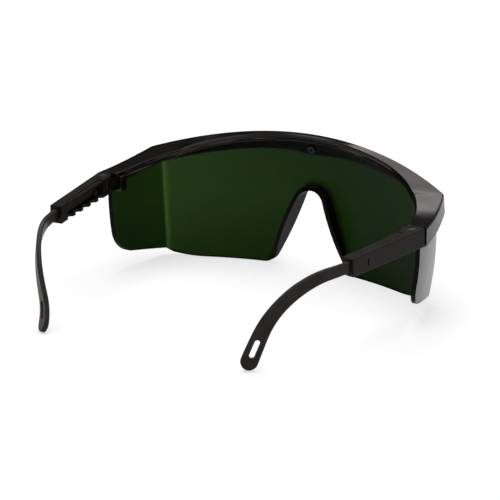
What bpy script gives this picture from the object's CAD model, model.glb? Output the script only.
import bpy
import math
from mathutils import Euler, Matrix, Vector

# Wrap-around safety spectacles with a welding-shade lens, standing open on a white table.
# Everything is in metres, in the frame of the CAD model.

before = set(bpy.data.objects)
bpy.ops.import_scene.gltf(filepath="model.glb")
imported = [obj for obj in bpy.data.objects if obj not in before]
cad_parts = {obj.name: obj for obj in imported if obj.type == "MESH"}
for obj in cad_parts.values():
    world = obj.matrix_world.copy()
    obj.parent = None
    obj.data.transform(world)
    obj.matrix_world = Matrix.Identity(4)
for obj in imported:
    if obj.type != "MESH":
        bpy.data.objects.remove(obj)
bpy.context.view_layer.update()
MM = 0.001

# The camera looks down on the open spectacles from behind the wearer's right temple.
CAMERA_TARGET = Vector((9.84, -28.01, 16.32)) * MM
CAMERA_DISTANCE = 1.274265
CAMERA_AZIMUTH = math.radians(209.739)
CAMERA_ELEVATION = math.radians(18.576)
CAMERA_LEAN = math.radians(-1.26)       # the camera leans with the spectacles' lean on their tips
CAMERA_LENS = 216.0                     # mm, on a sensor 36 mm wide

# Lens: shares of red, green and blue that its thickness lets through, and its two faces together.
LENS_THICKNESS = 2.1 * MM
LENS_PASSES = (0.070, 0.12, 0.090)
LENS_FACES = (0.152, 0.230, 0.054)
LENS_LOW_SHARE = 0.62                   # how much of that is left near the lower edge
LENS_LOW_Z = (6 * MM, 30 * MM)          # between these heights the shade changes
CREASE_X = 65.4 * MM                    # upright crease between front and shield: its place
CREASE_Z = 35.0 * MM                    # at its widest height
CREASE_LEAN = 430.0 * MM                # and how slowly it leans in from there
CREASE_WIDTH = 1.2 * MM                 # half the width of the thin, light line along it
CREASE_LIGHT = 0.9                      # how much more it lets through
CREASE_FACING = (0.5, 0.75)             # |normal y| from shield to front, where that line fades in
LENS_IOR = 1.14                         # the inside reflects little
LENS_ROUGHNESS = (0.29, 0.34)           # clean and smeared
LENS_OUTER_GLOSS = 0.45                 # weight of the coat on the outside
LENS_COAT_IOR = 1.5
LENS_COAT_ROUGHNESS = 0.03
LENS_SMEAR = (7 * MM, 7 * MM, 3 * MM)   # size of the wiping marks along x, y and z
LENS_FLOW = (30 * MM, 12 * MM, 18 * MM) # size of the moulding's slow waves

# Outline of the nose flange on the lens, seen from the front: a round top and two straight legs.
FLANGE_TOP_RADIUS = 8.2 * MM
FLANGE_TOP_Z = 28.7 * MM                # height of the round top's centre
FLANGE_FOOT_X = 19.8 * MM               # where a leg would meet the table
FLANGE_LEAN = math.radians(21)
FLANGE_SHADE = 0.30                     # share of light at the flange's root
FLANGE_SHADE_WIDTH = 2.4 * MM

# Linear colours.
BROW_COLOUR = (0.0036, 0.0031, 0.0027)
SLEEVE_COLOUR = (0.0110, 0.0095, 0.0086)
ARM_COLOUR = (0.0335, 0.0298, 0.0275)
STUD_COLOUR = (0.0045, 0.0045, 0.0040)
LENS_EDGE_COLOUR = (0.0060, 0.0050, 0.0042)
STEEL_COLOUR = (0.17, 0.165, 0.16)
WHITE = (1.0, 1.0, 1.0, 1.0)

# Plastics: how a moulded surface is rubbed, scuffed and grained.
PATCH_SIZE = 9 * MM                     # uneven gloss and tone
EDGE_RADIUS = 0.22 * MM                 # sharp edges catch light over this
EDGE_RUBBED = (0.80, 0.995)             # flatness from fully rubbed to untouched
DARK_TONE = 0.85                        # factors on the written colour
LIGHT_TONE = 2.2
SCUFF_SIZE = (0.35 * MM, 7 * MM, 0.5 * MM)
SCUFF_DEPTH = 0.004 * MM
SINK_SIZE = 16 * MM                     # slow waves from shrinkage
SINK_DEPTH = 0.10 * MM
PLASTIC_IOR = 1.5

# Table: lit colour, and the light added where camera, gloss or glass look at it.
TABLE_GREY = 0.45
TABLE_LIFT = 0.60

# Which faces belong to the lens's rim and nose flange, and to the brow's wall.
SHIELD_FROM_X = 69.5 * MM               # beyond this there are only the shields
NOSE_REACH_X = 26 * MM                  # the nose flange lies within this
NOSE_REACH_Z = 38 * MM
SKIN_APART = 1.4 * LENS_THICKNESS       # faces further apart than this aren't the lens's two skins
WALL_STEEPNESS = 0.45                   # |normal z| of a wall face is below this
WEARER = Vector((0, -10, 30)) * MM      # a point between the lens and the wearer's eyes


def colour(rgb, factor=1.0):
    return tuple(channel * factor for channel in rgb) + (1.0,)


class Nodes:
    """Short calls for building one material's node tree."""

    def __init__(self, name):
        self.material = bpy.data.materials.new(name)
        self.material.use_nodes = True
        self.tree = self.material.node_tree
        self.shader = self.tree.nodes["Principled BSDF"]
        self.output = self.tree.nodes["Material Output"]
        self.place = self.add("ShaderNodeTexCoord").outputs["Object"]

    def add(self, kind, **values):
        node = self.tree.nodes.new(kind)
        for key, value in values.items():
            setattr(node, key, value)
        return node

    def link(self, source, target):
        self.tree.links.new(source, target)

    def stretched(self, size):
        """Object coordinates divided by a size for each axis, in metres."""
        node = self.add("ShaderNodeMapping")
        node.inputs["Scale"].default_value = [1.0 / s for s in size]
        self.link(self.place, node.inputs["Vector"])
        return node.outputs["Vector"]

    def noise(self, size, detail=3.0, roughness=0.5, distortion=0.0):
        """Noise from 0 to 1 with features of a size in metres, for all axes or for each."""
        if isinstance(size, float):
            size = (size, size, size)
        node = self.add("ShaderNodeTexNoise")
        node.inputs["Scale"].default_value = 1.0
        node.inputs["Detail"].default_value = detail
        node.inputs["Roughness"].default_value = roughness
        node.inputs["Distortion"].default_value = distortion
        self.link(self.stretched(size), node.inputs["Vector"])
        return node.outputs["Fac"]

    def spread(self, value, from_low, from_high, to_low, to_high):
        node = self.add("ShaderNodeMapRange")
        node.inputs["From Min"].default_value = from_low
        node.inputs["From Max"].default_value = from_high
        node.inputs["To Min"].default_value = to_low
        node.inputs["To Max"].default_value = to_high
        self.link(value, node.inputs["Value"])
        return node.outputs["Result"]

    def math(self, operation, first, second):
        node = self.add("ShaderNodeMath", operation=operation)
        for socket, value in zip(node.inputs, (first, second)):
            if isinstance(value, float):
                socket.default_value = value
            else:
                self.link(value, socket)
        return node.outputs["Value"]

    def split(self, vector):
        node = self.add("ShaderNodeSeparateXYZ")
        self.link(vector, node.inputs["Vector"])
        return node.outputs

    def blend(self, value, low, high):
        """A colour between two, by a value from 0 to 1."""
        node = self.add("ShaderNodeMix", data_type="RGBA")
        sockets = [s for s in node.inputs if s.type == "RGBA"]
        sockets[0].default_value = low
        sockets[1].default_value = high
        self.link(value, node.inputs["Factor"])
        return [s for s in node.outputs if s.type == "RGBA"][0]

    def dot(self, first, second):
        node = self.add("ShaderNodeVectorMath", operation="DOT_PRODUCT")
        self.link(first, node.inputs[0])
        self.link(second, node.inputs[1])
        return node.outputs["Value"]

    def rounded(self, radius):
        """Normals that turn softly round the sharp edges."""
        node = self.add("ShaderNodeBevel", samples=6)
        node.inputs["Radius"].default_value = radius
        return node.outputs["Normal"]

    def flatness(self, rounded):
        """1 on the flats and less towards the sharp edges."""
        return self.dot(rounded, self.add("ShaderNodeNewGeometry").outputs["Normal"])

    def outward(self, weight):
        """The weight where the surface faces away from the wearer, and 0 on the inside."""
        normal = self.add("ShaderNodeNewGeometry").outputs["True Normal"]
        back = self.add("ShaderNodeVectorMath", operation="SUBTRACT")
        self.link(self.place, back.inputs[0])
        back.inputs[1].default_value = WEARER
        away = self.dot(normal, back.outputs["Vector"])
        return self.spread(away, -2 * MM, 2 * MM, 0.0, weight)

    def bump(self, height, distance, strength, normal=None):
        node = self.add("ShaderNodeBump")
        node.inputs["Strength"].default_value = strength
        node.inputs["Distance"].default_value = distance
        self.link(height, node.inputs["Height"])
        if normal is not None:
            self.link(normal, node.inputs["Normal"])
        return node.outputs["Normal"]


def black_plastic(name, base, gloss, grain_size, grain_depth, specular, warmth=1.0):
    """Moulded plastic with rubbed edges and handling marks; gloss is (lowest, highest) roughness."""
    nodes = Nodes(name)
    shader = nodes.shader
    shader.inputs["IOR"].default_value = PLASTIC_IOR
    shader.inputs["Specular IOR Level"].default_value = specular
    shader.inputs["Specular Tint"].default_value = (1.0, warmth, 0.98 * warmth, 1.0)
    rounded = nodes.rounded(EDGE_RADIUS)
    patches = nodes.noise(PATCH_SIZE, 4.0, 0.6)
    rubbed = nodes.spread(nodes.flatness(rounded), *EDGE_RUBBED, 1.0, 0.0)
    wear = nodes.math("MULTIPLY", rubbed, nodes.spread(patches, 0.35, 0.65, 0.25, 1.0))
    scuffs = nodes.noise(SCUFF_SIZE, 2.0, 0.55, 0.4)
    scuffed = nodes.spread(scuffs, 0.52, 0.74, 0.0, 1.0)
    marks = nodes.math("MULTIPLY", scuffed, nodes.spread(patches, 0.4, 0.7, 0.15, 1.0))

    mottle = nodes.spread(patches, 0.3, 0.7, 0.0, 0.35)
    tone = nodes.math("ADD", mottle, nodes.math("MULTIPLY", wear, 0.6))
    shade = nodes.blend(tone, colour(base, DARK_TONE), colour(base, LIGHT_TONE))
    nodes.link(shade, shader.inputs["Base Color"])

    rough = nodes.spread(patches, 0.3, 0.7, *gloss)
    rough = nodes.math("ADD", rough, nodes.math("MULTIPLY", marks, 0.10))
    rough = nodes.math("ADD", rough, nodes.math("MULTIPLY", wear, 0.08))
    nodes.link(rough, shader.inputs["Roughness"])

    normal = nodes.bump(nodes.noise(SINK_SIZE, 1.0, 0.4), SINK_DEPTH, 0.12, rounded)
    normal = nodes.bump(nodes.noise(grain_size, 2.0, 0.6), grain_depth, 0.6, normal)
    normal = nodes.bump(marks, SCUFF_DEPTH, 0.35, normal)
    nodes.link(normal, shader.inputs["Normal"])
    return nodes.material


def flange_distance(nodes, x, z):
    """Distance from the nose flange on the lens: x is counted outward from the middle."""
    rise = nodes.math("SUBTRACT", z, FLANGE_TOP_Z)
    square = nodes.math("ADD", nodes.math("MULTIPLY", x, x), nodes.math("MULTIPLY", rise, rise))
    from_top = nodes.math("SUBTRACT", nodes.math("SQRT", square, 0.0), FLANGE_TOP_RADIUS)
    along_x = nodes.math("MULTIPLY", nodes.math("SUBTRACT", x, FLANGE_FOOT_X), math.cos(FLANGE_LEAN))
    from_leg = nodes.math("ADD", along_x, nodes.math("MULTIPLY", z, math.sin(FLANGE_LEAN)))
    above = nodes.math("GREATER_THAN", rise, nodes.math("MULTIPLY", x, math.tan(FLANGE_LEAN)))
    step = nodes.math("MULTIPLY", above, nodes.math("SUBTRACT", from_top, from_leg))
    return nodes.math("ADD", from_leg, step)


def crease_light(nodes, x, z):
    """The light line along the upright crease, on its front side."""
    off = nodes.math("SUBTRACT", z, CREASE_Z)
    lean = nodes.math("DIVIDE", nodes.math("MULTIPLY", off, off), CREASE_LEAN)
    away = nodes.math("SUBTRACT", nodes.math("ADD", x, lean), CREASE_X)
    away = nodes.math("ABSOLUTE", away, 0.0)
    line = nodes.spread(away, 0.5 * CREASE_WIDTH, CREASE_WIDTH, CREASE_LIGHT, 0.0)
    normal = nodes.add("ShaderNodeNewGeometry").outputs["True Normal"]
    facing = nodes.math("ABSOLUTE", nodes.split(normal)["Y"], 0.0)
    return nodes.math("MULTIPLY", line, nodes.spread(facing, *CREASE_FACING, 0.0, 1.0))


def lens_tint(nodes):
    """Deeper towards the lower edge and the nose flange, and light along the thin creases."""
    parts = nodes.split(nodes.place)
    x = nodes.math("ABSOLUTE", parts["X"], 0.0)
    z = parts["Z"]
    share = nodes.spread(z, *LENS_LOW_Z, LENS_LOW_SHARE, 1.0)
    distance = flange_distance(nodes, x, z)
    root = nodes.spread(distance, 0.0, FLANGE_SHADE_WIDTH, FLANGE_SHADE, 1.0)
    share = nodes.math("MULTIPLY", share, root)
    share = nodes.math("ADD", share, crease_light(nodes, x, z))
    halved = nodes.math("MULTIPLY", share, 0.5)     # a blend ends at 1, and the share may reach 2
    return nodes.blend(halved, colour(LENS_FACES, 0.0), colour(LENS_FACES, 2.0))


def lens_material():
    """Plastic dyed in the mass, with a hard coat on the outside and faint wiping marks."""
    nodes = Nodes("lens_shade")
    shader = nodes.shader
    nodes.link(lens_tint(nodes), shader.inputs["Base Color"])
    shader.inputs["Transmission Weight"].default_value = 1.0
    shader.inputs["IOR"].default_value = LENS_IOR
    shader.inputs["Coat IOR"].default_value = LENS_COAT_IOR
    shader.inputs["Coat Roughness"].default_value = LENS_COAT_ROUGHNESS
    nodes.link(nodes.outward(LENS_OUTER_GLOSS), shader.inputs["Coat Weight"])
    smears = nodes.noise(LENS_SMEAR, 3.0, 0.55, 0.8)
    nodes.link(nodes.spread(smears, 0.4, 0.75, *LENS_ROUGHNESS), shader.inputs["Roughness"])
    flow = nodes.noise(LENS_FLOW, 0.0, 0.4)
    nodes.link(nodes.bump(flow, 0.04 * MM, 0.35), shader.inputs["Normal"])
    takes = [-math.log(share) / LENS_THICKNESS for share in LENS_PASSES]
    density = max(takes) * 1.05         # so that no channel of the colour is quite 0
    volume = nodes.add("ShaderNodeVolumeAbsorption")
    volume.inputs["Color"].default_value = colour(1.0 - take / density for take in takes)
    volume.inputs["Density"].default_value = density
    nodes.link(volume.outputs["Volume"], nodes.output.inputs["Volume"])
    return nodes.material


def steel_material():
    """Dark plated steel with spots and softened edges."""
    nodes = Nodes("screw_steel")
    shader = nodes.shader
    shader.inputs["Metallic"].default_value = 1.0
    spots = nodes.noise(0.5 * MM, 3.0, 0.6)
    shade = nodes.blend(spots, colour(STEEL_COLOUR, 0.6), colour(STEEL_COLOUR, 1.6))
    nodes.link(shade, shader.inputs["Base Color"])
    nodes.link(nodes.spread(spots, 0.3, 0.7, 0.22, 0.42), shader.inputs["Roughness"])
    normal = nodes.bump(spots, 0.006 * MM, 0.5, nodes.rounded(0.08 * MM))
    nodes.link(normal, shader.inputs["Normal"])
    return nodes.material


def table_material():
    """Pale laminate that takes the shadow; what camera, gloss and glass see of it is lifted to white."""
    nodes = Nodes("table_white")
    shader = nodes.shader
    shader.inputs["Base Color"].default_value = colour((TABLE_GREY,) * 3)
    shader.inputs["Roughness"].default_value = 0.9
    shader.inputs["Specular IOR Level"].default_value = 0.0
    shader.inputs["Emission Color"].default_value = WHITE
    rays = nodes.add("ShaderNodeLightPath")
    seen = nodes.math("MAXIMUM", rays.outputs["Is Camera Ray"], rays.outputs["Is Glossy Ray"])
    seen = nodes.math("MAXIMUM", seen, rays.outputs["Is Transmission Ray"])
    nodes.link(nodes.math("MULTIPLY", seen, TABLE_LIFT), shader.inputs["Emission Strength"])
    return nodes.material


def paint(node, material):
    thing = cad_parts[node]
    if not thing.material_slots:
        thing.data.materials.append(material)
    for slot in thing.material_slots:
        slot.material = material


def is_lens_edge(lens, face):
    """The rim of the moulding and its nose flange, as against its two clear skins."""
    place = face.center
    normal = face.normal
    if abs(place.x) > SHIELD_FROM_X:
        return abs(normal.x) < 0.5
    if abs(normal.z) > 0.7:
        return True
    if abs(place.x) > NOSE_REACH_X or place.z > NOSE_REACH_Z:
        return False
    if abs(normal.y) < 0.6:
        return True
    hit, where = lens.ray_cast(place - normal * 0.05 * MM, -normal)[:2]
    return normal.y > 0 and (not hit or (where - place).length > SKIN_APART)


def is_brow_wall(brow, face):
    """The brow's steep faces that look away from the wearer."""
    return abs(face.normal.z) < WALL_STEEPNESS and face.normal.dot(face.center - WEARER) > 0


def paint_part(node, material, chosen):
    """A second finish on the faces of a piece that a test picks."""
    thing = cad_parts[node]
    faces = [face for face in thing.data.polygons if chosen(thing, face)]
    thing.data.materials.append(material)
    for face in faces:
        face.material_index = len(thing.data.materials) - 1


def finish_lens():
    """The skins are green; the rim and the nose flange look black."""
    edge = black_plastic(
        "lens_edge", LENS_EDGE_COLOUR, (0.36, 0.46), 0.3 * MM, 0.004 * MM, 0.05, 0.9)
    paint("lens", lens_material())
    paint_part("lens", edge, is_lens_edge)


def finish_brow():
    """The shelf is the glossiest part; the front and side wall is a little duller."""
    shelf = black_plastic(
        "brow_gloss_black", BROW_COLOUR, (0.11, 0.18), 0.22 * MM, 0.002 * MM, 0.31, 0.88)
    wall = black_plastic(
        "brow_wall_black", BROW_COLOUR, (0.16, 0.24), 0.22 * MM, 0.003 * MM, 0.14, 0.88)
    paint("brow_frame", shelf)
    paint_part("brow_frame", wall, is_brow_wall)


def finish_pieces():
    finish_brow()
    finish_lens()
    stud = black_plastic("stud_black", STUD_COLOUR, (0.2, 0.3), 0.2 * MM, 0.002 * MM, 0.16)
    paint("lens_stud", stud)
    sleeve = black_plastic(
        "sleeve_satin_black", SLEEVE_COLOUR, (0.30, 0.40), 0.16 * MM, 0.010 * MM, 0.10, 0.9)
    arm = black_plastic(
        "arm_satin_black", ARM_COLOUR, (0.28, 0.36), 0.16 * MM, 0.004 * MM, 0.09, 0.9)
    steel = steel_material()
    for side in ("left", "right"):
        paint(side + "_temple_sleeve", sleeve)
        paint(side + "_temple_arm", arm)
        paint(side + "_hinge_screw", steel)


def add_table():
    bpy.ops.mesh.primitive_plane_add(size=30.0, location=(0, 0, -0.05 * MM))
    table = bpy.context.object
    table.name = "table"
    table.data.materials.append(table_material())


def add_camera():
    data = bpy.data.cameras.new("camera")
    data.lens = CAMERA_LENS
    data.sensor_width = 36.0
    data.clip_start = 0.05
    data.clip_end = 60.0
    camera = bpy.data.objects.new("camera", data)
    bpy.context.collection.objects.link(camera)
    aim = Euler((math.pi / 2 - CAMERA_ELEVATION, 0, CAMERA_AZIMUTH)).to_matrix().to_4x4()
    lean = Matrix.Rotation(CAMERA_LEAN, 4, "X")
    back = Matrix.Translation((0, 0, CAMERA_DISTANCE))
    camera.matrix_world = Matrix.Translation(CAMERA_TARGET) @ lean @ aim @ back
    bpy.context.scene.camera = camera


def add_lamp(name, place, aim, size, power):
    """A soft rectangular lamp at a place, facing a point."""
    data = bpy.data.lights.new(name, "AREA")
    data.shape = "RECTANGLE"
    data.size, data.size_y = size
    data.energy = power
    lamp = bpy.data.objects.new(name, data)
    bpy.context.collection.objects.link(lamp)
    lamp.location = place
    lamp.rotation_euler = (Vector(aim) - Vector(place)).to_track_quat("-Z", "Y").to_euler()
    lamp.visible_camera = False


def add_world():
    """A dim grey studio."""
    world = bpy.data.worlds.new("studio")
    bpy.context.scene.world = world
    world.use_nodes = True
    background = world.node_tree.nodes["Background"]
    background.inputs["Color"].default_value = WHITE
    background.inputs["Strength"].default_value = 0.05


def add_lights():
    add_world()
    add_lamp("softbox_above", (0.26, -0.6, 1.5), (0.26, -0.6, 0), (1.43, 2.4), 32.0)
    add_lamp("softbox_behind", (0.0, 1.3, 1.15), (0, 0, 0.03), (1.4, 0.9), 7.0)
    add_lamp("softbox_right", (-1.5, -0.3, 0.7), (0, 0, 0.03), (0.9, 0.9), 4.0)


add_camera()
add_table()
add_lights()
finish_pieces()
bpy.context.scene.view_settings.view_transform = "Standard"
